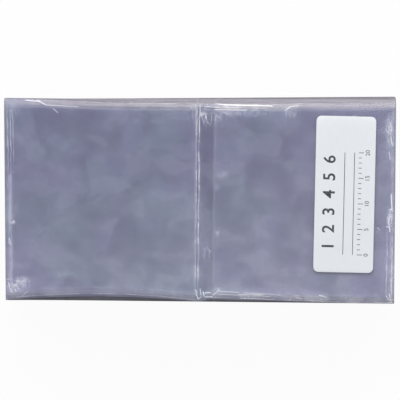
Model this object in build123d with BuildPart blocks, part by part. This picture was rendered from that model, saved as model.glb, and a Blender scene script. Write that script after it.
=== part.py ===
from build123d import *
from math import sin
import os

# A pack of clear coin flips lying open on a table, with a paper label on the top one.
# A flip is one strip of clear vinyl film. Both ends are folded inwards and both long edges are
# heat-sealed, which leaves two pockets whose mouths face each other across a bare web.
# The flip closes by folding at the web. Sizes are in mm. X runs along the open flip, Y goes across
# it towards the back, and Z is up. The origin is on the table, under the middle of the top flip.

# One flip
FILM = 0.13  # thickness of the vinyl film
SIDE = 38.1  # length of a folded flip, and half the length of an open one
WIDTH = 39.2  # across a flip, seals included
SEAL = 1.2  # width of the heat seal along each long edge
SEAL_EDGE = 0.2  # thickness that a seal is pressed down to at its outer edge
LEFT_MOUTH = 0.6  # from the fold line to the mouth of the left pocket
RIGHT_MOUTH = 2.9  # from the fold line to the mouth of the right pocket
POCKET_GAP = 0.3  # how far the pockets of the top flip stand open

# The pack
FLIPS = 100
LOOSE_FLIPS = 10  # flips at the top that are pieces of their own
BUNDLE = 10  # flips in each bundle under them
AIR = 0.02  # clearance between two flips that lie on each other
SHIFT = 0.2  # how far a flip lies off centre, as hands squared the pack up
TURN = 0.12  # how far a flip lies askew, in degrees
TWIST = 0.9  # how far the pack is twisted from its top flip to its bottom one, in degrees

# The paper label
LABEL_LENGTH = 30.6
LABEL_WIDTH = 11.7
LABEL_CORNER = 1.0
LABEL_PAPER = 0.1
LABEL_INSET = 9.7  # from the right end of the flip to the middle of the label
LABEL_BACKWARD = 1.6  # from the flip's centre line to the middle of the label
LABEL_LEAN = 0.7  # degrees

# Worked out from the sizes above
POCKET = WIDTH - 2 * SEAL  # clear width of a pocket
PRESSED = 2 * FILM
PITCH = PRESSED + AIR
OPENED = 2 * FILM + POCKET_GAP
TOP_FLIP = (FLIPS - 1) * PITCH  # height of the top flip's underside
FOLD_RADIUS = OPENED / 2  # outside of the top flip's end folds


def resting_place(number):
    """Where a stacked flip lies, counted from 1 at the top of the pack. It has slipped a little, and is
    turned about the middle of its left half, where a hand held the pack."""
    slip_x = SHIFT * sin(2.4 * number)
    slip_y = SHIFT * sin(1.7 * number + 1)
    askew = TURN * sin(3.1 * number + 2) + TWIST * (number - 1) / (FLIPS - 1)
    held = Location((slip_x - SIDE / 2, slip_y, (FLIPS - number) * PITCH), (0, 0, askew))
    return held * Location((SIDE / 2, 0, 0))


def write(piece, name):
    """Labels a finished piece and writes it to its own file."""
    piece.part.label = name
    export_step(piece.part, f"parts/{name}.step")


os.makedirs("parts", exist_ok=True)

# Both halves of the top flip: back panel, flap, the fold that joins them, and two heat seals
for side, way, mouth in (("left", -1, LEFT_MOUTH), ("right", 1, RIGHT_MOUTH)):
    panel_length = SIDE - FOLD_RADIUS - mouth
    panel_centre = way * (mouth + panel_length / 2)

    with BuildPart() as back_panel:
        with BuildSketch(Plane.XY.offset(TOP_FLIP)):
            with Locations((panel_centre, 0)):
                Rectangle(panel_length, POCKET)
        extrude(amount=FILM)
    write(back_panel, f"{side}_back_panel")

    with BuildPart() as flap:
        with BuildSketch(Plane.XY.offset(TOP_FLIP + FILM + POCKET_GAP)):
            with Locations((panel_centre, 0)):
                Rectangle(panel_length, POCKET)
        extrude(amount=FILM)
    write(flap, f"{side}_flap")

    with BuildPart() as end_fold:
        with BuildSketch(Plane.XZ):
            with Locations((way * (SIDE - FOLD_RADIUS), TOP_FLIP + FOLD_RADIUS)):
                Circle(FOLD_RADIUS)
                Circle(FOLD_RADIUS - FILM, mode=Mode.SUBTRACT)
                with Locations((-way * FOLD_RADIUS / 2, 0)):
                    Rectangle(FOLD_RADIUS, 2 * FOLD_RADIUS, mode=Mode.SUBTRACT)
        extrude(amount=POCKET / 2, both=True)
    write(end_fold, f"{side}_end_fold")

    for edge, toward in (("rear", 1), ("front", -1)):
        with BuildPart() as seal:
            with BuildSketch(Plane.YZ.offset(way * mouth)):
                with BuildLine():
                    Polyline(
                        (toward * POCKET / 2, TOP_FLIP),
                        (toward * WIDTH / 2, TOP_FLIP),
                        (toward * WIDTH / 2, TOP_FLIP + SEAL_EDGE),
                        (toward * POCKET / 2, TOP_FLIP + OPENED),
                        close=True,
                    )
                make_face()
            extrude(amount=way * (SIDE - mouth))
        write(seal, f"{side}_{edge}_seal")

# The bare web between the two mouths, where the top flip folds
with BuildPart() as fold_web:
    with BuildSketch(Plane.XY.offset(TOP_FLIP)):
        with Locations(((RIGHT_MOUTH - LEFT_MOUTH) / 2, 0)):
            Rectangle(LEFT_MOUTH + RIGHT_MOUTH, WIDTH)
    extrude(amount=FILM)
write(fold_web, "fold_web")

# The label, stuck to the right flap
with BuildPart() as label:
    with BuildSketch(Plane.XY.offset(TOP_FLIP + OPENED)):
        with Locations(Location((SIDE - LABEL_INSET, LABEL_BACKWARD, 0), (0, 0, -LABEL_LEAN))):
            RectangleRounded(LABEL_WIDTH, LABEL_LENGTH, LABEL_CORNER)
    extrude(amount=LABEL_PAPER)
write(label, "label")

# A flip pressed flat: the folded strip seen from its long edge, carried across its width
with BuildPart() as pressed_flip:
    with BuildSketch(Plane.XZ):
        with BuildLine():
            Line((FILM - SIDE, 0), (SIDE - FILM, 0))
            ThreePointArc((SIDE - FILM, 0), (SIDE, FILM), (SIDE - FILM, PRESSED))
            Polyline(
                (SIDE - FILM, PRESSED),
                (RIGHT_MOUTH, PRESSED),
                (RIGHT_MOUTH, FILM),
                (-LEFT_MOUTH, FILM),
                (-LEFT_MOUTH, PRESSED),
                (FILM - SIDE, PRESSED),
            )
            ThreePointArc((FILM - SIDE, PRESSED), (-SIDE, FILM), (FILM - SIDE, 0))
        make_face()
    extrude(amount=WIDTH / 2, both=True)

# The flips right under the top one
for number in range(2, LOOSE_FLIPS + 1):
    with BuildPart() as loose_flip:
        with Locations(resting_place(number)):
            add(pressed_flip.part)
    write(loose_flip, f"flip_{number:02d}")

# The rest of the pack, in bundles counted from the top
for place, first in enumerate(range(LOOSE_FLIPS + 1, FLIPS + 1, BUNDLE), start=1):
    numbers = range(first, min(first + BUNDLE, FLIPS + 1))
    with BuildPart() as bundle:
        with Locations(*[resting_place(number) for number in numbers]):
            add(pressed_flip.part)
    write(bundle, f"flip_bundle_{place}")
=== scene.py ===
import math

import bpy
import numpy as np
from mathutils import Matrix, Vector


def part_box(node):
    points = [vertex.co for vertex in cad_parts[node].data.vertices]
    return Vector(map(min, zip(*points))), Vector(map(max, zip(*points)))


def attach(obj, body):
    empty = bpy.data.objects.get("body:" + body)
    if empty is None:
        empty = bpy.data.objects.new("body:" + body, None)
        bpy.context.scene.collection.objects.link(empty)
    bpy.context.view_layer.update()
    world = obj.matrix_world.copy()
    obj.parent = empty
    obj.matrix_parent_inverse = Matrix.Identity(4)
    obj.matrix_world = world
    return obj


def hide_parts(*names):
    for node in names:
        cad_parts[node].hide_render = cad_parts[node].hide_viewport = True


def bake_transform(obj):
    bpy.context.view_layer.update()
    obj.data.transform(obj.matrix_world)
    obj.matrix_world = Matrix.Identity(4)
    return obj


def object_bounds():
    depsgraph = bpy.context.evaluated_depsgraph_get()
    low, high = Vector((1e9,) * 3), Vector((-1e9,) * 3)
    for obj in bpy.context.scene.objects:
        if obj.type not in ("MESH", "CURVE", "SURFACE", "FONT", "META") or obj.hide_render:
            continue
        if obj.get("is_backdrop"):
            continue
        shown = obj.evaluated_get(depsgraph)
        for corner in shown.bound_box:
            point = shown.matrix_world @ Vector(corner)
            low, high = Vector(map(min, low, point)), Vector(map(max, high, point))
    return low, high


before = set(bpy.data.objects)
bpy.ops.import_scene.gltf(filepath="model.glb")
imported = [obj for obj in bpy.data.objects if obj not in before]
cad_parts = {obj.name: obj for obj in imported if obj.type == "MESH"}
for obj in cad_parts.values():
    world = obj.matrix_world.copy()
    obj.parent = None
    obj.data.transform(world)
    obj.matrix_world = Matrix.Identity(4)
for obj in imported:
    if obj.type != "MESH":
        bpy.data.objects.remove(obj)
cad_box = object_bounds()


# The flips under the top one. Each is a strip of clear vinyl film with both ends folded in and both long
# edges welded shut. They lie loose on one another, pressed flat by their own weight, and each keeps the
# small slip that the hands left it with. Welds and webs pack thinner than pockets, so the heap is domed.

mm = 0.001
web_low, web_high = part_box("fold_web")
film = web_high.z - web_low.z
top_flip_z = web_low.z
half_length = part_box("right_end_fold")[1].x
half_width = web_high.y
pocket_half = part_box("right_flap")[1].y
left_mouth = web_low.x
right_mouth = web_high.x
flip_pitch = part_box("flip_02")[0].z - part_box("flip_03")[0].z
weld_pressed = 0.77  # thickness of a weld, as a share of two films
weld_droop = 1.0 * mm  # how far the heap's top sinks along the welds, at the ends and at the webs
end_droop = 0.35 * mm
web_droop = 0.12 * mm
rear_draw = 0.5 * mm  # how far the welds draw the long edges in, at the rear and at the front of each half
left_front_draw = 1.15 * mm
right_front_draw = 0.8 * mm
left_end_shift = 0.11 * mm  # how far the left end is folded short, and how much that changes across it
left_end_slant = 0.36 * mm


def ease(low, high, value):
    """Rises smoothly from 0 at low to 1 at high."""
    share = np.clip((value - low) / (high - low), 0.0, 1.0)
    return share * share * (3.0 - 2.0 * share)


def droop(x, y):
    """How far the heap's top lies below level at a spot: along the welds, at the ends and at the webs."""
    weld = ease(half_width - 1.4 * mm, half_width + 1.1 * mm, abs(y))
    wave = 0.10 * mm * np.sin(x / (3.7 * mm) + 0.6) + 0.05 * mm * np.sin(x / (1.45 * mm) + 2.1)
    ends = ease(half_length - 2.2 * mm, half_length, abs(x))
    webs = 1.0 - ease(1.5 * mm, 4.0 * mm, abs(x - (left_mouth + right_mouth) / 2.0))
    at_ends = (1.0 - 0.6 * weld) * end_droop * ends
    return weld * (weld_droop + wave) + at_ends + (1.0 - weld) * web_droop * webs


def settled(x, y, z):
    """The height to which a film sinks that would lie at z in a level heap."""
    return z * (1.0 - droop(x, y) / top_flip_z)


def drawn_in(x, y, number):
    """A spot's y once the welds have drawn the long edges in: most in the top flip, and not at corners."""
    from_left = ease(-36.0 * mm, -15.0 * mm, x)
    to_right = 1.0 - 0.5 * ease(16.0 * mm, 19.5 * mm, x) - 0.5 * ease(24.0 * mm, half_length, x)
    rear = rear_draw * math.exp(-(((number - 1) / 2.2) ** 1.3)) * from_left * to_right
    left_lens = left_front_draw * np.sin(np.pi * np.clip(-x / half_length, 0.0, 1.0)) ** 0.8
    right_lens = right_front_draw * ease(0.0, 3.0 * mm, x) * (1.0 - np.clip(x / (29.0 * mm), 0.0, 1.0))
    front = (left_lens + right_lens) * math.exp(-(((number - 1) / 3.0) ** 1.3))
    pull = np.where(y > 0.0, rear, front)
    return y - np.sign(y) * pull * ease(0.3 * half_width, half_width, abs(y))


def out_of_square(x, y):
    """A spot's x on a strip whose left end was folded a little out of square."""
    toward_left = np.clip(-x / half_length, 0.0, 1.0)
    return x + toward_left * (left_end_shift - left_end_slant * y / half_width)


def rear_tint(x):
    """How strongly the rear welds take on the warm, pale weld tone, painted as a highlight from the lamp
    behind the pack: less towards the left end.
    """
    return 0.3 + 0.7 * ease(-37.0 * mm, -25.0 * mm, x)


def box_of_quads(rows, columns):
    """Faces of a closed skin on a grid: top, underside and four edges, with a 1 for each face on the two
    long edges and a 2 for each on the two short ones."""
    top = np.arange(rows * columns).reshape(rows, columns)
    low = top + rows * columns
    faces = []
    kinds = []

    def add(a, b, c, d, kind):
        faces.extend(np.stack([a, b, c, d], axis=-1).reshape(-1, 4).tolist())
        kinds.extend([kind] * a.size)

    add(top[:-1, :-1], top[1:, :-1], top[1:, 1:], top[:-1, 1:], 0)
    add(low[:-1, :-1], low[:-1, 1:], low[1:, 1:], low[1:, :-1], 0)
    add(top[:-1, 0], low[:-1, 0], low[1:, 0], top[1:, 0], 1)
    add(top[:-1, -1], top[1:, -1], low[1:, -1], low[:-1, -1], 1)
    add(top[0, :-1], top[0, 1:], low[0, 1:], low[0, :-1], 2)
    add(top[-1, :-1], low[-1, :-1], low[-1, 1:], top[-1, 1:], 2)
    return faces, kinds


def even_run(start, stop, count):
    """Stations from start to stop that crowd together towards both."""
    return start + (stop - start) * (1.0 - np.cos(np.linspace(0.0, np.pi, count))) / 2.0


def lengthwise(count):
    """Stations along a pressed flip as (x, low, high): round folded ends, two pockets and the bare web."""
    round_end = [(0.0, 0.8, 1.2), (0.15, 0.473, 1.527), (0.5, 0.134, 1.866), (1.0, 0.0, 2.0)]
    left = [(-half_length + a * film, b * film, c * film) for a, b, c in round_end]
    right = [(half_length - a * film, b * film, c * film) for a, b, c in reversed(round_end)]
    step = 0.01 * mm
    left_pocket = [(x, 0.0, 2.0 * film) for x in even_run(-half_length + film, left_mouth, count)[1:]]
    right_pocket = [(x, 0.0, 2.0 * film) for x in even_run(right_mouth, half_length - film, count)[:-1]]
    near = 0.25 * mm
    web = [(x, 0.0, film) for x in (
        left_mouth + step, left_mouth + near, right_mouth / 2.0, right_mouth - near, right_mouth - step)]
    return np.array(left + left_pocket + web + right_pocket + right)


def crosswise(count):
    """Stations across a flip, close together at the welds."""
    inner = pocket_half * np.sin(np.linspace(-np.pi / 2.0, np.pi / 2.0, count))
    weld = np.append(np.linspace(pocket_half, half_width - 0.12 * mm, 4)[1:], half_width)
    return np.concatenate([-weld[::-1], inner, weld])


def resting_places(node):
    """Where a CAD node's flips lie, from its own corners: number in the pack, middle, turn and height."""
    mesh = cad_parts[node].data
    spots = np.empty(len(mesh.vertices) * 3)
    mesh.vertices.foreach_get("co", spots)
    spots = spots.reshape(-1, 3)
    levels = np.floor(spots[:, 2] / flip_pitch + 0.02).astype(int)
    for level in sorted(set(levels.tolist()), reverse=True):
        flat = spots[levels == level][:, :2]
        total, differ = flat.sum(axis=1), flat[:, 0] - flat[:, 1]
        rear_right, front_left = flat[total.argmax()], flat[total.argmin()]
        front_right, rear_left = flat[differ.argmax()], flat[differ.argmin()]
        middle = (rear_right + front_left + front_right + rear_left) / 4.0
        run = rear_right + front_right - rear_left - front_left
        number = int(round(top_flip_z / flip_pitch)) - level + 1
        yield number, middle, math.atan2(run[1], run[0]), level * flip_pitch


def both_skins(*marks):
    """Marks of a grid's points, once for its outer skin and once for its inner one."""
    return np.stack([np.concatenate([mark.ravel(), mark.ravel()]) for mark in marks], axis=-1)


def pressed_flip(number, middle, turn, height, along, across):
    """A pressed flip's skin: points, faces, kinds of face, and how creased, crumpled and welded each point
    is. The flip right under the top one keeps the heap's own colour along its front weld, without the painted
    shade that the other flips' front welds carry."""
    u, v = np.meshgrid(along[:, 0], across, indexing="ij")
    drawn = drawn_in(u, v, number)
    x = middle[0] + out_of_square(u, v)
    y = middle[1] + u * math.sin(turn) + drawn * math.cos(turn)
    pressed = 1.0 - (1.0 - weld_pressed) * ease(pocket_half, half_width, abs(v))
    level = settled(x, y, height)
    top = np.stack([x, y, level + along[:, 2][:, None] * pressed], axis=-1)
    low = np.stack([x, y, level + along[:, 1][:, None] * pressed], axis=-1)
    mouths = np.minimum(abs(u - left_mouth), abs(u - right_mouth))
    to_end = half_length - abs(u)
    to_edge = half_width - abs(v)
    bend = np.exp(-((to_end / mm - 0.9) / 0.25) ** 2) + ease(half_length - 0.4 * mm, half_length, abs(u))
    # Pale lines along each weld's inner edge and cut edge: partly the film's whitening, partly painted
    # glints, painted fainter at the front where the shade falls.
    bead = np.exp(-abs(abs(v) - pocket_half) / (0.12 * mm)) + 0.4 * np.exp(-to_edge / (0.08 * mm))
    bead = 0.5 * bead * np.where(v < 0.0, 0.3, 1.0)
    crease = np.maximum(np.maximum(0.4 * np.exp(-mouths / (0.1 * mm)), 0.5 * bend), bead)
    # Flip 2's front weld mark is nearly taken away, so it gets neither the weld tone nor the painted shade.
    clear_front = np.where(v < 0.0, 1.0 - 0.9 * math.exp(-(((number - 2) / 0.8) ** 2)), 1.0)
    welded = ease(half_width - 0.9 * mm, half_width - 0.3 * mm, abs(v)) * clear_front
    # The rear welds' mark is scaled by the painted highlight's strength.
    welded = welded * np.where(v > 0.0, rear_tint(u), 1.0)
    faces, kinds = box_of_quads(*u.shape)
    points = np.concatenate([top.reshape(-1, 3), low.reshape(-1, 3)])
    return points, faces, kinds, both_skins(crease, np.zeros(u.shape), welded)


def skin(name, shells, materials):
    """One mesh object from closed skins. Its points carry how creased, crumpled and welded they are, and each
    skin's own chance value. A face's kind picks its material."""
    points, faces, kinds, marks, chance = [], [], [], [], []
    for order, (spots, quads, sort, mark) in enumerate(shells):
        start = len(points)
        points.extend(spots.tolist())
        faces.extend([[start + corner for corner in quad] for quad in quads])
        kinds.extend(sort)
        marks.append(mark)
        own_chance = math.sin(12.9898 * (order + 1) + 78.233 * spots[0, 2] / mm) * 43758.5 % 1.0
        chance.extend([own_chance] * len(spots))
    mesh = bpy.data.meshes.new(name)
    mesh.from_pydata(points, [], faces)
    marks = np.concatenate(marks)
    for place, mark in enumerate(("crease", "crumple", "welded")):
        values = np.ascontiguousarray(marks[:, place])
        mesh.attributes.new(mark, "FLOAT", "POINT").data.foreach_set("value", values)
    mesh.attributes.new("chance", "FLOAT", "POINT").data.foreach_set("value", chance)
    for material in materials:
        mesh.materials.append(material)
    mesh.polygons.foreach_set("material_index", [min(kind, len(materials) - 1) for kind in kinds])
    mesh.polygons.foreach_set("use_smooth", [True] * len(faces))
    mesh.set_sharp_from_angle(angle=math.radians(48.0))
    mesh.update()
    piece = bpy.data.objects.new(name, mesh)
    bpy.context.collection.objects.link(piece)
    return piece


class Wire:
    """One output socket of a material. Arithmetic on it adds Math nodes, and node() adds any other node."""

    def __init__(self, tree, socket=None):
        self.tree = tree
        self.socket = socket

    def node(self, kind, settings=None, inputs=None, output=0):
        made = self.tree.nodes.new(kind)
        for key, value in (settings or {}).items():
            setattr(made, key, value)
        for key, value in (inputs or {}).items():
            if isinstance(value, Wire):
                self.tree.links.new(value.socket, made.inputs[key])
            else:
                made.inputs[key].default_value = value
        return Wire(self.tree, made.outputs[output]) if made.outputs else None

    def sum(self, operation, first, second):
        return self.node("ShaderNodeMath", {"operation": operation}, {0: first, 1: second})

    def __add__(self, other):
        return self.sum("ADD", self, other)

    def __radd__(self, other):
        return self.sum("ADD", other, self)

    def __sub__(self, other):
        return self.sum("SUBTRACT", self, other)

    def __rsub__(self, other):
        return self.sum("SUBTRACT", other, self)

    def __mul__(self, other):
        return self.sum("MULTIPLY", self, other)

    def __rmul__(self, other):
        return self.sum("MULTIPLY", other, self)

    def __pow__(self, other):
        return self.sum("POWER", self, other)

    def at_most(self, other):
        return self.sum("MINIMUM", self, other)

    def at_least(self, other):
        return self.sum("MAXIMUM", self, other)

    def between(self, low, high):
        """0 below low and 1 above high, smooth between."""
        settings = {"interpolation_type": "SMOOTHSTEP"}
        return self.node("ShaderNodeMapRange", settings, {0: self, 1: low, 2: high})

    def blend(self, first, second):
        """From the first colour to the second as this goes from 0 to 1."""
        return self.node("ShaderNodeMix", {"data_type": "RGBA"}, {0: self, 6: first, 7: second}, 2)

    def noise(self, scale, detail=2.0, distortion=0.0):
        """A value from 0 to 1 that wanders over these coordinates, with scale turns to the millimetre."""
        settings = {"noise_dimensions": "3D"}
        return self.node("ShaderNodeTexNoise", settings, {0: self, 2: scale, 3: detail, 8: distortion})

    def rucks(self, width):
        """1 on wandering lines over these coordinates, and 0 between them."""
        cells = self.node("ShaderNodeTexVoronoi", {"feature": "DISTANCE_TO_EDGE"}, {0: self, "Scale": 1.0})
        return 1.0 - cells.between(0.2 * width, width)

    def part(self, place):
        """One of these coordinates: 0 along the flip, 1 across it, 2 up."""
        return self.node("ShaderNodeSeparateXYZ", {}, {0: self}, place)

    def stroke(self, begin, finish, width):
        """1 on a straight line between two places seen from above, and 0 away from it."""
        run = (finish[0] - begin[0], finish[1] - begin[1], 0.0)
        flat = self.stretched(1.0, 1.0, 0.0)
        start = flat.node("ShaderNodeVectorMath", {"operation": "SUBTRACT"}, {0: flat, 1: (*begin, 0.0)})
        along = start.node("ShaderNodeVectorMath", {"operation": "DOT_PRODUCT"}, {0: start, 1: run}, 1)
        share = (along * (1.0 / (run[0] ** 2 + run[1] ** 2))).at_least(0.0).at_most(1.0)
        foot = start.node("ShaderNodeVectorMath", {"operation": "SCALE"}, {0: run, "Scale": share})
        apart = start.node("ShaderNodeVectorMath", {"operation": "DISTANCE"}, {0: start, 1: foot}, 1)
        return 1.0 - apart.between(0.3 * width, width)

    def mark(self, name):
        """A value that the mesh's points carry."""
        return self.node("ShaderNodeAttribute", {"attribute_name": name}, output=2)

    def stretched(self, x, y, z):
        """These coordinates, each way multiplied."""
        return self.node("ShaderNodeVectorMath", {"operation": "MULTIPLY"}, {0: self, 1: (x, y, z)})


def colour(red, green, blue):
    """A colour as a screen shows it, 0 to 255, for a shader."""
    linear = [(c / 255.0 + 0.055) ** 2.4 / 1.055**2.4 for c in (red, green, blue)]
    return (*linear, 1.0)


def new_material(name):
    """An empty material, with the wire that starts its nodes and its own coordinates in millimetres."""
    material = bpy.data.materials.new(name)
    material.use_nodes = True
    material.node_tree.nodes.clear()
    start = Wire(material.node_tree)
    spot = start.node("ShaderNodeTexCoord", output=3).stretched(1000.0, 1000.0, 1000.0)
    return material, start, spot


def heaped_film():
    """Film in the heap: many clear layers together look blue-grey, with soft patches where they touch. The
    welds are two films melted into one, with a warmer tone of their own; they are painted pale at the rear as
    a painted highlight and dark at the front as painted shade. The field is painted lighter towards the
    front, the right, both ends and the rear right, standing in for how the light falls."""
    material, start, spot = new_material("heaped_film")
    broad = spot.noise(0.085, 2.0, 0.3).between(0.36, 0.64)
    patch = spot.stretched(1.0, 1.3, 1.0).noise(0.17, 1.5, 0.4).between(0.3, 0.72)
    fine = spot.noise(1.7, 2.0)
    tint = broad.blend(colour(81, 80, 113), colour(78, 88, 111))
    tint = (patch * 0.85).blend(tint, colour(106, 109, 134))
    along = spot.part(0)
    across = spot.part(1)
    # A painted lightening, held in apart: the field is painted lighter towards the front, towards the right,
    # at both ends and at the rear right, standing in for how the light falls across the pack.
    ends = 0.08 * along.between(24.0, 37.0) + 0.14 * (1.0 - along.between(-37.5, -31.0))
    rear_right = 0.1 * along.between(4.0, 30.0) * across.between(11.0, 17.5)
    apart = (0.39 - 0.022 * across + 0.0075 * along + ends + rear_right).between(0.0, 1.0)
    tint = apart.blend(tint, patch.blend(colour(114, 116, 141), colour(140, 143, 163)))
    past_left_mouth = along.between(left_mouth / mm, left_mouth / mm + 0.4)
    short_of_right = 1.0 - along.between(right_mouth / mm - 0.7, right_mouth / mm)
    web = past_left_mouth * short_of_right
    tint = (web * (0.28 - 0.4 * apart)).at_least(0.0).blend(tint, colour(74, 73, 101))
    weld_tone_lit_and_shaded = spot.stretched(0.25, 3.0, 3.0).noise(1.0, 2.0).between(0.35, 0.65)
    weld_tone_lit_and_shaded = weld_tone_lit_and_shaded.blend(colour(88, 85, 100), colour(122, 117, 128))
    # Painted light on the welds: painted pale at the rear, more so towards the right, as a painted highlight
    # from the lamp behind; painted dark at the front as painted shade.
    rear = across.between(-1.0, 1.0)
    weld_tone_lit_and_shaded = (rear * (0.3 + 0.007 * along)).at_least(0.0).blend(weld_tone_lit_and_shaded, colour(170, 163, 171))
    weld_tone_lit_and_shaded = (0.75 * (1.0 - rear)).blend(weld_tone_lit_and_shaded, colour(54, 52, 66))
    tint = (start.mark("welded") * 0.9).blend(tint, weld_tone_lit_and_shaded)
    # Pale creases: the film's whitening where bent and cut, together with the painted glints along the welds
    # that the crease mark carries.
    tint = (start.mark("crease") * (0.3 + 0.5 * fine)).blend(tint, colour(196, 198, 208))
    swell = spot.noise(0.3, 2.0)
    bump = start.node("ShaderNodeBump", {}, {"Strength": 0.12, "Distance": 0.0006, "Height": swell})
    shader = start.node("ShaderNodeBsdfPrincipled", {}, {
        "Base Color": tint, "Roughness": 0.18 + 0.14 * patch, "IOR": 1.5, "Normal": bump})
    start.node("ShaderNodeOutputMaterial", {}, {"Surface": shader})
    return material


def cut_edge():
    """The slit edge of the film, seen end on: glassy, dark where it looks into the heap, with long glints
    painted into its colour.
    """
    material, start, spot = new_material("cut_edge")
    streak = spot.stretched(0.10, 0.10, 4.0).noise(1.0, 2.0)
    # Painted glints: pale streaks painted into the edge's colour.
    glint = spot.stretched(0.3, 0.3, 7.0).noise(1.0, 2.0, 0.5).between(0.56, 0.72)
    tint = start.mark("chance").blend(colour(98, 97, 117), colour(150, 148, 163))
    tint = streak.between(0.4, 0.7).blend(tint, colour(120, 118, 137))
    tint = (0.7 * glint).blend(tint, colour(190, 189, 199))
    shader = start.node("ShaderNodeBsdfPrincipled", {}, {
        "Base Color": tint, "Roughness": 0.12 + 0.2 * streak, "IOR": 1.5})
    start.node("ShaderNodeOutputMaterial", {}, {"Surface": shader})
    return material


film_in_heap = heaped_film()
edge_of_film = cut_edge()

for node in sorted(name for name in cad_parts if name.startswith("flip_")):
    bundled = node.startswith("flip_bundle")
    along = lengthwise(9 if bundled else 17)
    across = crosswise(9 if bundled else 19)
    shells = [pressed_flip(*place, along, across) for place in resting_places(node)]
    flips = skin(f"{node}_film", shells, [film_in_heap, edge_of_film, film_in_heap])
    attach(flips, "pack")
    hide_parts(node)


# The two pockets of the top flip. Each is the end of the strip folded back over itself, so one film runs from
# the web out to the end, round the fold and back to the mouth. It is clear and glossy, stands a little open,
# and is whitened where it was bent at the fold and cut at the mouth. Its pale lines along the fold and the
# welds are partly painted highlights, and it is painted lighter near the front welds.

pocket_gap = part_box("right_flap")[0].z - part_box("right_back_panel")[1].z
crumpled_spots = [  # middle and reach in millimetres along and across the flip, and strength
    (-36.2, -18.2, 2.6, 1.6, 0.9),
    (-31.5, 19.1, 4.5, 0.6, 0.45),
    (-36.8, 18.2, 1.2, 1.4, 0.5),
    (-36.5, -4.5, 0.4, 0.35, 0.9),
    (-37.2, -8.3, 0.25, 0.7, 0.7),
    (-37.2, -15.8, 0.7, 0.2, 0.7),
    (-26.0, -15.4, 2.0, 0.9, 0.2),
    (-35.0, -16.4, 1.7, 0.8, 0.6),
    (2.0, -18.7, 3.4, 1.0, 1.0),
    (16.0, -18.9, 15.0, 1.2, 0.7),
    (5.6, 18.7, 8.0, 1.1, 1.0),
    (1.2, 18.0, 2.4, 2.2, 0.9),
    (17.6, 18.4, 1.3, 1.2, 0.8),
    (4.3, 5.3, 1.1, 0.7, 0.4),
    (3.1, 2.7, 0.6, 0.6, 0.4),
    (3.5, -6.2, 0.5, 0.7, 0.4),
    (1.4, -9.8, 1.1, 1.7, 0.45),
    (37.0, 14.5, 0.8, 3.0, 0.7),
    (37.3, -3.0, 0.6, 1.8, 0.9),
    (37.4, -18.6, 0.8, 1.4, 1.0),
]

# The crinkles are drawn only as white lines in the film's colour: partly whitening, partly painted glints.
crinkles = [  # sharp single creases: from, to, in millimetres along and across the flip, and strength
    ((-34.3, 19.4), (-31.6, 19.2), 0.8),
    ((-32.2, 19.6), (-30.3, 18.5), 0.8),
    ((-30.3, 18.5), (-24.0, 18.2), 0.6),
    ((-28.9, 17.8), (-28.0, 17.1), 0.4),
    ((2.4, 19.2), (4.6, 18.9), 0.9),
    ((4.6, 18.9), (14.0, 18.75), 1.0),
    ((2.8, 17.95), (9.0, 17.9), 1.0),
    ((1.0, 18.5), (3.6, 18.35), 0.7),
    ((3.6, 19.6), (4.2, 18.9), 0.7),
    ((16.6, 17.9), (17.6, 18.7), 0.8),
    ((17.6, 18.7), (19.3, 18.9), 0.6),
    ((21.3, 19.5), (22.0, 18.6), 0.4),
    ((-37.1, -4.4), (-36.8, -4.8), 0.6),
    ((-36.8, -4.8), (-36.3, -4.2), 0.6),
    ((-37.3, -7.6), (-36.9, -8.9), 0.5),
    ((-37.5, -15.7), (-36.8, -15.7), 0.5),
    ((-36.9, -17.6), (-36.5, -18.2), 0.8),
    ((-36.0, -17.5), (-35.8, -18.1), 0.7),
    ((-34.6, -19.0), (-33.6, -18.0), 0.5),
    ((-37.3, -16.3), (-37.0, -17.6), 0.7),
    ((-36.1, -15.9), (-33.9, -16.9), 0.4),
    ((-0.7, -17.4), (-0.3, -18.0), 0.8),
    ((-0.5, -18.2), (-0.1, -19.2), 1.0),
    ((-0.1, -19.2), (0.45, -18.8), 0.9),
    ((0.25, -17.2), (0.45, -18.4), 0.8),
    ((0.85, -17.8), (1.05, -18.6), 1.0),
    ((1.2, -18.0), (2.2, -17.9), 0.9),
    ((1.2, -18.8), (2.6, -18.7), 1.0),
    ((2.8, -18.4), (4.0, -17.4), 0.8),
    ((3.8, -17.2), (4.4, -17.8), 0.6),
    ((2.6, -18.9), (7.7, -19.1), 0.8),
    ((3.8, -18.2), (8.7, -18.4), 0.6),
    ((10.6, -19.0), (14.6, -19.2), 0.8),
    ((11.2, -18.4), (14.0, -18.6), 0.6),
    ((4.5, -17.7), (7.9, -17.8), 0.6),
    ((8.9, -17.9), (12.5, -18.1), 0.6),
    ((12.0, -18.0), (16.2, -18.3), 0.5),
    ((16.4, -18.5), (18.4, -18.6), 0.5),
    ((18.9, -18.2), (19.1, -19.0), 0.6),
    ((19.2, -18.7), (20.2, -19.0), 0.8),
    ((23.6, -18.2), (25.0, -18.6), 0.9),
    ((27.7, 16.75), (28.3, 16.85), 0.6),
    ((29.9, 16.9), (30.3, 17.2), 0.5),
    ((34.9, -4.9), (35.3, -5.3), 0.4),
    ((37.3, 12.8), (37.7, 11.2), 0.7),
    ((37.0, 10.0), (37.2, 8.6), 0.6),
    ((37.5, 1.7), (37.7, -1.6), 0.9),
    ((36.9, -2.7), (37.3, -5.6), 0.8),
    ((37.8, -9.0), (37.75, -16.5), 0.5),
    ((37.1, -1.4), (37.6, -1.2), 0.7),
    ((36.6, -4.6), (37.3, -4.9), 0.7),
    ((36.7, -18.2), (37.3, -19.0), 0.8),
    ((37.3, -17.8), (37.7, -19.4), 0.8),
]
crinkle_width = 0.14  # millimetres from the middle of a crinkle to its edge


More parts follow.
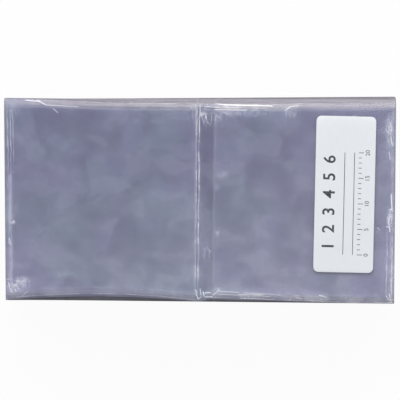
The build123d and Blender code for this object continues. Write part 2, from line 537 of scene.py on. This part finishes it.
def crumpled(x, y):
    """How crumpled the top flip is at a spot, 0 to 1."""
    most = np.zeros(np.broadcast(x, y).shape)
    for along, across, wide, deep, strength in crumpled_spots:
        apart = ((x / mm - along) / wide) ** 2 + ((y / mm - across) / deep) ** 2
        most = np.maximum(most, strength * np.exp(-apart))
    return most


def rumple(x, y):
    """The height of the crumpled film's small folds."""
    a, b = x / mm, y / mm
    folds = np.sin(3.1 * a + 1.9 * b) + 0.7 * np.sin(5.3 * a - 2.2 * b + 1.1)
    folds = folds + 0.5 * np.sin(1.7 * a + 6.1 * b)
    return 0.045 * mm * crumpled(x, y) * (1.0 + folds / 2.2)


def film_spacing(x, y):
    """From the middle of a pocket's back film to the middle of its flap, at a spot of the flip."""
    reach = abs(x)
    mouth = np.where(x < 0.0, -left_mouth, right_mouth)
    pillow = 1.0 - ease(pocket_half - 3.2 * mm, pocket_half, abs(y))
    end = (half_length - reach) / mm
    ridge = 0.24 * mm * np.exp(-(((end - 1.15) / 0.55) ** 2))
    ridge = ridge - 0.08 * mm * np.exp(-(((end - 2.1) / 0.35) ** 2))
    lip = 0.10 * mm * np.exp(-(((reach - mouth) / mm / 1.4) ** 2))
    drift = 0.03 * mm * np.sin(reach / (4.3 * mm) + 0.8) * np.sin(y / (3.9 * mm) + 1.7)
    return 1.15 * film + pillow * (0.8 * pocket_gap + ridge + lip + drift) + rumple(x, y)


def pocket_shell(way, mouth):
    """A pocket's folded film as one closed skin with the film's own thickness."""
    across = pocket_half * np.sin(np.linspace(-np.pi / 2.0, np.pi / 2.0, 101))
    fold_radius = film_spacing(np.full(across.shape, way * half_length), across) / 2.0
    fold_reach = half_length - film / 2.0 - fold_radius
    share = np.concatenate([even_run(0.0, 0.93, 36), np.linspace(0.93, 1.0, 36)[1:]])[:, None]
    reach = mouth + share * (fold_reach - mouth)
    level_at_fold = ease(0.0, 0.5 * mm, fold_reach - reach)
    spacing = film_spacing(way * reach, np.broadcast_to(across, reach.shape))
    spacing = 2.0 * fold_radius + (spacing - 2.0 * fold_radius) * level_at_fold
    turn = np.linspace(-np.pi / 2.0, np.pi / 2.0, 11)[1:-1][:, None]
    far = np.concatenate([reach, fold_reach + fold_radius * np.cos(turn), reach[::-1]])
    up = np.concatenate([np.zeros(reach.shape), fold_radius * (1.0 + np.sin(turn)), spacing[::-1]])
    y = np.broadcast_to(across, far.shape)
    x = out_of_square(way * far, y)
    drawn = drawn_in(x, y, 1)
    middle = np.stack([x, drawn, settled(x, drawn, top_flip_z) + film / 2.0 + up], axis=-1)
    slope = np.cross(np.gradient(middle, axis=0), np.gradient(middle, axis=1)) * -way
    slope /= np.linalg.norm(slope, axis=-1, keepdims=True)
    outside = middle + slope * film / 2.0
    inside = middle - slope * film / 2.0
    end = (half_length - far) / mm
    wavy = 0.05 * np.sin(y / (2.9 * mm) + way) + 0.03 * np.sin(y / (0.7 * mm))
    # The fold's pale lines and the haze near the end: partly the film's whitening where bent, partly painted
    # highlights of the rounded fold.
    if way < 0:  # lines along the fold: distance from the end, width and strength
        toward_front = 1.0 - ease(3.0 * mm, 10.0 * mm, y)
        lines = [(0.45, 0.1, 0.5 - 0.25 * toward_front), (1.05, 0.1, 0.45 - 0.1 * toward_front),
                 (1.55, 0.1, 0.3 - 0.2 * toward_front), (0.95, 0.42, 0.25 * toward_front)]
        haze = 0.1 * np.exp(-end / 2.0)
    else:
        toward_front = 1.0 - ease(-11.0 * mm, -3.0 * mm, y)
        lines = [(0.35, 0.13, 0.3 + 0.4 * toward_front), (1.35, 0.14, 0.1 + 0.5 * toward_front)]
        haze = 0.26 * np.exp(-end / 1.5)
    fold = haze
    for place, width, strength in lines:
        fold = np.maximum(fold, strength * np.exp(-(((end - place - wavy) / width) ** 2)))
    lip = 0.6 * np.exp(-(far - mouth) / (0.14 * mm)) + 0.2 * np.exp(-(far - mouth) / (0.8 * mm))
    lip = np.where(np.arange(len(far))[:, None] > len(far) // 2, lip, 0.0) * (1.0 if way < 0 else 0.2)
    # Near the welds: a thin pale line, brighter at the rear as a painted highlight, and at the front a soft
    # painted lightening that offsets the shade where the film droops.
    to_weld = pocket_half - abs(y)
    weld = np.where(y < 0.0, 0.05, 0.15) * np.exp(-to_weld / (0.25 * mm))
    weld += np.where(y < 0.0, 0.07 if way < 0 else 0.17, 0.02) * np.exp(-to_weld / (1.4 * mm))
    crease = np.maximum(np.maximum(fold, lip), weld)
    faces, kinds = box_of_quads(*far.shape)
    if way > 0:
        faces = [face[::-1] for face in faces]
    points = np.concatenate([outside.reshape(-1, 3), inside.reshape(-1, 3)])
    return points, faces, kinds, both_skins(crease, crumpled(x, y), np.zeros(x.shape))


def clear_film():
    """One clear film by itself: it lets most light through, shines, and turns milky where it was bent. Its
    white marks are partly that whitening and partly painted glints, and the welds' warm tone is painted
    stronger at the rear as a painted highlight.
    """
    material, start, spot = new_material("clear_film")
    broad = spot.noise(0.07, 2.0, 0.4).between(0.36, 0.64)
    cling = spot.stretched(1.0, 0.8, 1.0).noise(0.16, 2.0, 0.6).between(0.38, 0.66)
    fine = spot.noise(2.2, 2.0)
    dashes = spot.noise(0.45, 2.0).between(0.36, 0.62)
    specks = spot.noise(2.6, 3.0, 0.6).between(0.55, 0.63)
    welded = start.mark("welded")
    crumple = start.mark("crumple")
    across = spot.part(1)
    near_weld = (across * across).between(16.6**2, 18.0**2)
    # The white marks: partly the film's whitening at creases, crumples and crinkles, partly painted glints
    # that stand in for the lamps' sparkle.
    lines = start.mark("crease") * (0.3 + 0.7 * dashes + 0.4 * specks)
    folds = spot.stretched(1.1, 0.35, 1.0).rucks(0.12)
    frost_and_glints = crumple * (0.2 + 0.35 * specks + (1.0 - near_weld) * folds * (0.35 + 0.65 * dashes))
    white = lines.at_least(frost_and_glints).at_most(1.0)
    for begin, finish, strength in crinkles:
        white = white.at_least(strength * spot.stroke(begin, finish, crinkle_width))
    tint = broad.blend(colour(160, 158, 200), colour(158, 171, 198))
    # The welds' warm, pale tone, painted stronger on the rear welds as a painted highlight.
    tint = (0.6 * welded).blend(tint, colour(178, 168, 173))
    tint = white.blend(tint, colour(248, 248, 252))
    alpha = 0.02 + 0.04 * cling + 0.03 * fine + 0.06 * welded + 0.68 * white
    swell = spot.noise(0.16, 2.0)
    bump = start.node("ShaderNodeBump", {}, {"Strength": 0.15, "Distance": 0.001, "Height": swell})
    body = start.node("ShaderNodeBsdfPrincipled", {}, {
        "Base Color": tint, "Roughness": 0.18 + 0.12 * fine, "IOR": 1.5,
        "Alpha": alpha.at_most(1.0), "Normal": bump})
    gloss = start.node("ShaderNodeBsdfGlossy", {}, {"Roughness": 0.14, "Normal": bump})
    facing = start.node("ShaderNodeLayerWeight", {}, {"Blend": 0.5}, 1)
    underside = start.node("ShaderNodeNewGeometry", {}, {}, 6)
    shine = (0.025 + 0.85 * facing**5.0) * (1.0 - underside)
    shader = start.node("ShaderNodeMixShader", {}, {0: shine, 1: body, 2: gloss})
    start.node("ShaderNodeOutputMaterial", {}, {"Surface": shader})
    return material


film_alone = clear_film()


def lets_light_through(piece):
    """Light reaches what lies under this piece as if the clear film were not there. With shadows, a folded
    flip's many clear layers would leave the pack under it dark."""
    piece.visible_shadow = False
    piece.visible_diffuse = False


for side, way, mouth in (("left", -1, -left_mouth), ("right", 1, right_mouth)):
    pocket = skin(f"{side}_pocket_film", [pocket_shell(way, mouth)], [film_alone, film_alone, edge_of_film])
    lets_light_through(pocket)
    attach(pocket, f"top_flip_{side}_half")
    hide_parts(f"{side}_back_panel", f"{side}_flap", f"{side}_end_fold")


# The welds that close a pocket's long edges. A hot bar pressed both films into one band, thinner at the cut
# edge and with a small bead of melted film along the inside.

# Height of a weld from its inner edge to the cut one: share of its width, share of its full height
weld_profile = [(0.0, 1.0), (0.1, 1.09), (0.24, 1.02), (0.45, 0.83), (0.75, 0.79), (0.94, 0.76), (1.0, 0.7)]
weld_lines = (0.2, 0.34, 0.5, 0.63)  # fine lines that the bar left along a weld, as shares of its width
# The rear bead's brightness is a painted highlight, laid into the crease mark.
bright_runs = [(-19.0, 8.0, 0.35), (6.0, 6.5, 1.0)]  # where the rear bead shines: middle, reach, strength


def weld_shell(way, toward, mouth):
    """A weld as one closed skin, from the mouth to the folded end."""
    share = np.linspace(0.0, 1.0, 25)
    lift = np.interp(share, *zip(*weld_profile)) * 2.15 * film
    reach = even_run(mouth, half_length - 0.02 * mm, 60)
    y_flat = toward * (pocket_half + share * (half_width - pocket_half))
    far, y = np.meshgrid(reach, y_flat, indexing="ij")
    x = out_of_square(way * far, y)
    drawn = drawn_in(x, y, 1)
    level = settled(x, drawn, top_flip_z)
    top = np.stack([x, drawn, level + lift + rumple(x, y)], axis=-1)
    low = np.stack([x, drawn, level], axis=-1)
    rucked = crumpled(x, y)
    # Front welds are painted milkier than the rear ones: a painted lightening that offsets the shade where
    # the film droops to the front.
    if toward > 0:
        milky, fine, edge_line = 0.02, 0.2, 0.4
    elif way < 0:
        milky, fine, edge_line = 0.12, 0.12, 0.25
    else:
        milky, fine, edge_line = 0.15, 0.45, 0.45
    crease = milky + ease(0.8, 0.9, share) * (edge_line + 0.3 * rucked)
    for order, place in enumerate(weld_lines):
        wander = place + 0.04 * np.sin(x / ((5.0 + order) * mm) + 2.0 * order)
        line = np.exp(-(((share - wander) / 0.05) ** 2))
        crease = np.maximum(crease, line * (fine + 0.55 * rucked))
    # Along the rear bead, a painted highlight that is brightest near 5 mm along the flip and fades away from
    # there.
    if toward > 0:
        bead = 0.28
        for middle, spread, strength in bright_runs:
            bead = bead + strength * np.exp(-(((x / mm - middle) / spread) ** 2))
        crease = np.maximum(crease, bead * np.exp(-((share / 0.1) ** 2)))
        from_brightest = abs(x - 5.0 * mm)
        crease = crease * (1.0 - 0.45 * ease(9.0 * mm, 18.0 * mm, from_brightest))
    faces, kinds = box_of_quads(*far.shape)
    if way * toward < 0:
        faces = [face[::-1] for face in faces]
    points = np.concatenate([top.reshape(-1, 3), low.reshape(-1, 3)])
    # Rear welds carry the weld tone at the painted highlight's strength; the front ones carry a plain share.
    welded = rear_tint(x) if toward > 0 else np.full(x.shape, 0.35)
    return points, faces, kinds, both_skins(crease, rucked, welded)


for side, way, mouth in (("left", -1, -left_mouth), ("right", 1, right_mouth)):
    for edge, toward in (("rear", 1), ("front", -1)):
        shells = [weld_shell(way, toward, mouth)]
        weld = skin(f"{side}_{edge}_weld", shells, [film_alone, edge_of_film, film_alone])
        lets_light_through(weld)
        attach(weld, f"top_flip_{side}_half")
        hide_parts(f"{side}_{edge}_seal")


# The bare web between the two mouths. It is the same strip of film, single here, and the flip folds along
# its crease. The crease is a low milky ridge; the web bends round it when the flip is shut.


def web_shell():
    """The web as one closed skin, close-meshed where it bends."""
    bend = np.linspace(left_mouth, -left_mouth, 21)
    flat = np.linspace(-left_mouth, right_mouth, 9)[1:]
    x, y = np.meshgrid(np.concatenate([bend, flat]), crosswise(81), indexing="ij")
    drawn = drawn_in(x, y, 1)
    level = settled(x, drawn, top_flip_z)
    ridge = 0.07 * mm * np.exp(-((x / (0.22 * mm)) ** 2)) + rumple(x, y)
    top = np.stack([x, drawn, level + film + ridge], axis=-1)
    low = np.stack([x, drawn, level + ridge * 0.8], axis=-1)
    wander = -0.2 * mm + 0.06 * mm * np.sin(y / (2.3 * mm)) + 0.04 * mm * np.sin(y / (0.9 * mm))
    crease = 0.75 * np.exp(-(((x - wander) / (0.11 * mm)) ** 2)) + 0.1 * np.exp(-((x / (0.5 * mm)) ** 2))
    faces, kinds = box_of_quads(*x.shape)
    points = np.concatenate([top.reshape(-1, 3), low.reshape(-1, 3)])
    return points, faces, kinds, both_skins(crease, crumpled(x, y), np.zeros(x.shape))


web = skin("fold_web_film", [web_shell()], [film_alone, edge_of_film, film_alone])
lets_light_through(web)
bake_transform(web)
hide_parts("fold_web")


# The paper label on the right flap, die-cut with round corners and stuck down by its gummed back, a little
# askew. Its print is plain: a row of numbers, two lines to write on and a millimetre rule.

label_low, label_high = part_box("label")
label_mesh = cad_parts["label"].data
label_spots = np.array([tuple(vertex.co) for vertex in label_mesh.vertices])[:, :2]
label_middle = (label_spots.max(axis=0) + label_spots.min(axis=0)) / 2.0
label_run = np.linalg.svd(label_spots - label_spots.mean(axis=0), full_matrices=False)[2][0]
label_run = label_run if label_run[1] > 0.0 else -label_run
label_side = np.array([label_run[1], -label_run[0]])
label_half_length = np.ptp(label_spots @ label_run) / 2.0
label_half_width = np.ptp(label_spots @ label_side) / 2.0
label_corner = 1.0 * mm
label_paper = label_high.z - label_low.z


def on_flap(spots, above):
    """Points on the right flap, given across and along the label, at a height above the film."""
    flat = label_middle + spots[:, :1] * label_side + spots[:, 1:] * label_run
    x, y = flat[:, 0], flat[:, 1]
    undrawn = y
    for _ in range(5):
        undrawn = y + undrawn - drawn_in(x, undrawn, 1)
    top = settled(x, y, top_flip_z) + film + film_spacing(x, undrawn)
    return np.stack([x, y, top + above], axis=-1)


def label_ring(inset):
    """The label's outline moved inwards, anticlockwise."""
    corner = max(label_corner - inset, 0.02 * mm)
    wide = label_half_width - inset - corner
    tall = label_half_length - inset - corner
    ring = []
    for quarter, (right, up) in enumerate(((1, -1), (1, 1), (-1, 1), (-1, -1))):
        for angle in np.linspace(0.0, np.pi / 2.0, 7) + (quarter - 1) * np.pi / 2.0:
            ring.append((right * wide + corner * math.cos(angle), up * tall + corner * math.sin(angle)))
        if quarter % 2 == 0:
            for part in np.linspace(0.0, 1.0, 21)[1:-1]:
                ring.append((right * (wide + corner), right * tall * (2.0 * part - 1.0)))
        else:
            for part in np.linspace(0.0, 1.0, 7)[1:-1]:
                ring.append((up * wide * (1.0 - 2.0 * part), up * (tall + corner)))
    return np.array(ring)


def label_shell():
    """The label as a closed skin of rings, its cut edge slightly rounded over."""
    stuck = 0.006 * mm
    layers = [on_flap(label_ring(inset), label_paper - drop) for inset, drop in (
        (5.6 * mm, 0.0), (4.0 * mm, 0.0), (2.0 * mm, 0.0), (0.7 * mm, 0.0), (0.12 * mm, 0.0),
        (0.03 * mm, 0.012 * mm), (0.0, 0.035 * mm))]
    layers += [on_flap(label_ring(inset), stuck) for inset in (0.0, 2.0 * mm, 5.6 * mm)]
    size = len(layers[0])
    rings = np.arange(len(layers) * size).reshape(len(layers), size)
    after = np.roll(rings, -1, axis=1)
    faces = np.stack([rings[:-1], rings[1:], after[1:], after[:-1]], axis=-1).reshape(-1, 4).tolist()
    faces += [rings[0].tolist(), rings[-1][::-1].tolist()]
    points = np.concatenate(layers)
    return points, faces, [0] * len(faces), np.zeros((len(points), 3))


def label_paper_finish():
    """White coated paper: faint fibres and a slight shine."""
    material, start, spot = new_material("label_paper")
    fibre = spot.stretched(2.0, 0.6, 2.0).noise(1.0, 4.0)
    cloud = spot.noise(0.12, 2.0)
    tint = (0.35 * fibre + 0.5 * cloud).blend(colour(235, 239, 242), colour(219, 224, 230))
    bump = start.node("ShaderNodeBump", {}, {"Strength": 0.15, "Distance": 0.0001, "Height": fibre})
    shader = start.node("ShaderNodeBsdfPrincipled", {}, {
        "Base Color": tint, "Roughness": 0.5 + 0.15 * fibre, "Normal": bump})
    start.node("ShaderNodeOutputMaterial", {}, {"Surface": shader})
    return material


label = skin("label_paper", [label_shell()], [label_paper_finish()])
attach(label, "top_flip_right_half")
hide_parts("label")

print_points = []
print_faces = []


def print_shape(spots, faces):
    """Adds flat printed shapes, given across and along the label."""
    start = len(print_points)
    print_points.extend(on_flap(np.array(spots), label_paper + 0.008 * mm).tolist())
    print_faces.extend([[start + corner for corner in face] for face in faces])


def print_bar(left, right, low, high):
    """A printed bar, in short lengths so that it follows the paper."""
    steps = max(1, round((high - low) / mm))
    rungs = np.linspace(low, high, steps + 1)
    spots = [(across, along) for along in rungs for across in (left, right)]
    print_shape(spots, [(2 * i, 2 * i + 1, 2 * i + 3, 2 * i + 2) for i in range(steps)])


def print_number(text, across, along, size, weight):
    """A printed number that reads from the front towards the back, its foot at across."""
    letters = bpy.data.curves.new("number", "FONT")
    letters.body = text
    letters.size = size / mm
    letters.offset = weight
    letters.align_x = "CENTER"
    letters.resolution_u = 4
    holder = bpy.data.objects.new("number", letters)
    shape = bpy.data.meshes.new_from_object(holder)
    spots = [(across - vertex.co.y * mm, along + vertex.co.x * mm) for vertex in shape.vertices]
    print_shape(spots, [tuple(face.vertices) for face in shape.polygons])
    bpy.data.objects.remove(holder)
    bpy.data.curves.remove(letters)
    bpy.data.meshes.remove(shape)


print_start = -11.8 * mm  # front end of the printed lines and of the rule, along the label
half_tick = 0.06 * mm
rule_foot = 2.6 * mm

for place in range(6):
    print_number(str(place + 1), -2.0 * mm, (-10.2 + 3.4 * place) * mm, 3.3 * mm, 0.05)
for across in (-0.2 * mm, 1.7 * mm):
    print_bar(across, across + 2.0 * half_tick, print_start, 8.2 * mm)
for place in range(21):
    tall = (1.0 if place % 5 == 0 else 0.6) * mm
    middle = print_start + place * mm
    print_bar(rule_foot, rule_foot + tall, middle - half_tick, middle + half_tick)
    if place % 5 == 0:
        print_number(str(place), 4.75 * mm, middle, 1.2 * mm, 0.0)


def label_ink():
    """Dark printing ink, thin enough that the paper's grain shows in it."""
    material, start, spot = new_material("label_ink")
    thin = spot.noise(3.0, 3.0)
    tint = thin.between(0.35, 0.75).blend(colour(40, 44, 54), colour(78, 83, 94))
    shader = start.node("ShaderNodeBsdfPrincipled", {}, {"Base Color": tint, "Roughness": 0.4 + 0.2 * thin})
    start.node("ShaderNodeOutputMaterial", {}, {"Surface": shader})
    return material


print_mesh = bpy.data.meshes.new("label_print")
print_mesh.from_pydata(print_points, [], print_faces)
print_mesh.materials.append(label_ink())
label_print = bpy.data.objects.new("label_print", print_mesh)
bpy.context.collection.objects.link(label_print)
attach(label_print, "top_flip_right_half")


# The table the pack lies on, and the light: a plain white sheet under a soft white room, one broad lamp
# behind the pack, and four slim ones low down that draw the thin glints along its edges.

floor_half = 1.5
floor_z = -0.1 * mm  # a hair below the pack
floor_mesh = bpy.data.meshes.new("table")
floor_mesh.from_pydata(
    [(-floor_half, -floor_half, floor_z), (floor_half, -floor_half, floor_z),
     (floor_half, floor_half, floor_z), (-floor_half, floor_half, floor_z)], [], [(0, 1, 2, 3)])


def table_finish():
    """Matt white sheet, seen by the camera as nearly pure white with the pack's soft shadow in it."""
    material, start, spot = new_material("table_sheet")
    tint = spot.noise(0.01, 2.0).blend(colour(246, 246, 246), colour(243, 243, 244))
    sheet = start.node("ShaderNodeBsdfPrincipled", {}, {
        "Base Color": tint, "Roughness": 0.9, "Specular IOR Level": 0.0})
    glow = start.node("ShaderNodeEmission", {}, {"Strength": 1.0})
    seen = start.node("ShaderNodeLightPath", output=0)
    shader = start.node("ShaderNodeMixShader", {}, {0: seen * 0.95, 1: sheet, 2: glow})
    start.node("ShaderNodeOutputMaterial", {}, {"Surface": shader})
    return material


floor_mesh.materials.append(table_finish())
table = bpy.data.objects.new("table", floor_mesh)
bpy.context.collection.objects.link(table)
table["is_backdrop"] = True

room = bpy.data.worlds.new("white_room")
bpy.context.scene.world = room
room.use_nodes = True
room.node_tree.nodes.clear()
room_start = Wire(room.node_tree)
seen = room_start.node("ShaderNodeLightPath", output=0)
mirrored = Wire(room.node_tree, seen.socket.node.outputs["Is Glossy Ray"])
passed = Wire(room.node_tree, seen.socket.node.outputs["Is Transmission Ray"])
bright = seen.at_least(mirrored).at_least(passed)
strength = 0.42 + 0.58 * bright
white = (1.0, 1.0, 1.0, 1.0)
background = room_start.node("ShaderNodeBackground", {}, {"Color": white, "Strength": strength})
room_start.node("ShaderNodeOutputWorld", {}, {"Surface": background})


def lamp(name, place, size, power):
    """A flat lamp that faces the pack: its place, its width and height, and its power in watts."""
    data = bpy.data.lights.new(name, "AREA")
    data.shape = "RECTANGLE"
    data.size, data.size_y = size
    data.energy = power
    made = bpy.data.objects.new(name, data)
    made.location = place
    made.rotation_euler = (Vector((0.0, 0.0, top_flip_z)) - Vector(place)).to_track_quat("-Z", "Y").to_euler()
    bpy.context.collection.objects.link(made)


lamp("broad_lamp", (-0.08, 0.55, 0.58), (1.0, 0.6), 5.2)
lamp("rear_strip", (0.0, 0.62, 0.22), (0.6, 0.02), 0.5)
lamp("front_strip", (0.0, -0.62, 0.30), (0.6, 0.03), 0.15)
lamp("left_strip", (-0.60, 0.05, 0.24), (0.4, 0.015), 0.35)
lamp("right_strip", (0.60, 0.05, 0.24), (0.4, 0.015), 0.35)


# The camera looks almost straight down through a long lens. It stands a hair behind the pack and to its
# right, and is turned a little, so that the pack lies in the picture as in the photograph.

frame_width = 78.35 * mm
camera_distance = 2.5
aim = Vector((0.06 * mm, 0.2 * mm, top_flip_z))
lean_back = math.radians(0.7)
lean_right = math.radians(0.65)
roll = math.radians(0.59)
backward = Vector((math.tan(lean_right), math.tan(lean_back), 1.0)).normalized()
rightward = Vector((math.cos(roll), math.sin(roll), 0.0))
rightward = (rightward - rightward.dot(backward) * backward).normalized()
upward = backward.cross(rightward)
lens = bpy.data.cameras.new("camera")
lens.sensor_width = 36.0
lens.lens = 36.0 * camera_distance / frame_width
lens.clip_end = 10.0
camera = bpy.data.objects.new("camera", lens)
turned = Matrix((rightward, upward, backward)).transposed().to_4x4()
camera.matrix_world = Matrix.Translation(aim + camera_distance * backward) @ turned
bpy.context.collection.objects.link(camera)
bpy.context.scene.camera = camera
bpy.context.scene.view_settings.view_transform = "Standard"

boxes = {"cad": cad_box, "visual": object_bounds()}
{name: [list(corner) for corner in box] for name, box in boxes.items()}
